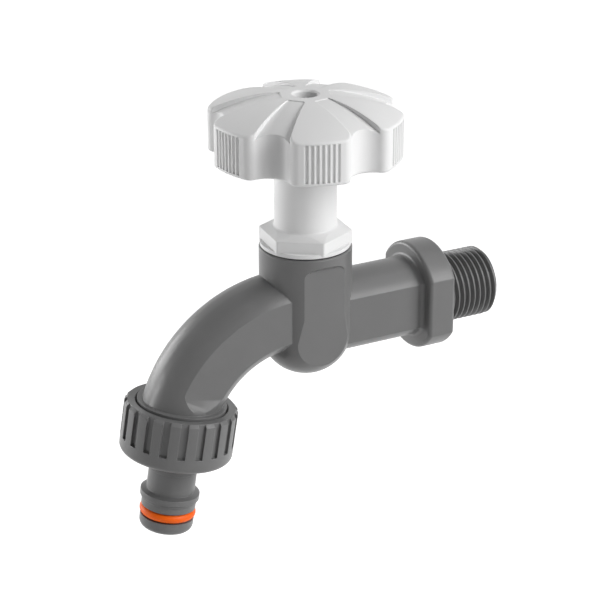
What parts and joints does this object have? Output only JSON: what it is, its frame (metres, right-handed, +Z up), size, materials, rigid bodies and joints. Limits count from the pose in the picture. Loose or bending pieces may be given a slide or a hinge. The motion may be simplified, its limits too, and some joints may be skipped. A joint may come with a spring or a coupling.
{
  "type": "garden tap",
  "caption": "Wall-mounted garden tap with a lobed white handwheel on a screw-down valve, a curved grey spout and a screw-on push-fit hose connector.",
  "frame": {"origin": "centre of the wrench collar's wall-side face, on the inlet thread's axis", "axes": "+X along the inlet thread into the wall fitting, +Z up along the valve's axis, spout towards -X"},
  "size_m": [0.1192, 0.0556, 0.1268],
  "materials": {
    "grey_plastic": "satin moulded, fine grain",
    "white_plastic": "satin moulded",
    "black_rubber": "matt",
    "orange_rubber": "smooth",
    "brass": "turned",
    "steel": "plain stainless"
  },
  "bodies": {
    "tap": {"tap_body": "grey_plastic", "bonnet": "white_plastic", "bonnet_gasket": "black_rubber"},
    "jumper": {"valve_jumper": "brass", "jumper_clip": "steel", "valve_washer": "black_rubber", "retaining_washer": "steel", "washer_screw": "steel"},
    "wheel": {"spindle": "brass", "spindle_oring_upper": "black_rubber", "spindle_oring_lower": "black_rubber", "handwheel": "white_plastic", "handwheel_screw": "steel", "handwheel_screw_washer": "steel"},
    "washer": {"outlet_washer": "black_rubber"},
    "connector": {"hose_connector": "grey_plastic", "connector_oring": "orange_rubber"}
  },
  "joints": [
    {"name": "valve_lift", "type": "slide", "parent": "tap", "child": "jumper", "axis": [0, 0, 1], "range_m": [0, 0.005]},
    {"name": "handwheel_turn", "type": "hinge", "parent": "jumper", "child": "wheel", "pos_m": [-0.043, 0, 0], "axis": [0, 0, 1], "range_deg": [0, 900]},
    {"name": "connector_travel", "type": "slide", "parent": "tap", "child": "washer", "axis": [-0.1633, 0, -0.9866], "range_m": [0, 0.00816]},
    {"name": "connector_turn", "type": "hinge", "parent": "washer", "child": "connector", "pos_m": [-0.08328, 0, -0.01896], "axis": [-0.1633, 0, -0.9866], "range_deg": [0, 1620]}
  ],
  "couplings": [
    {"joint": "valve_lift", "follows": "handwheel_turn", "m_per_rad": 0.0003183},
    {"joint": "connector_travel", "follows": "connector_turn", "m_per_rad": 0.0002887}
  ]
}
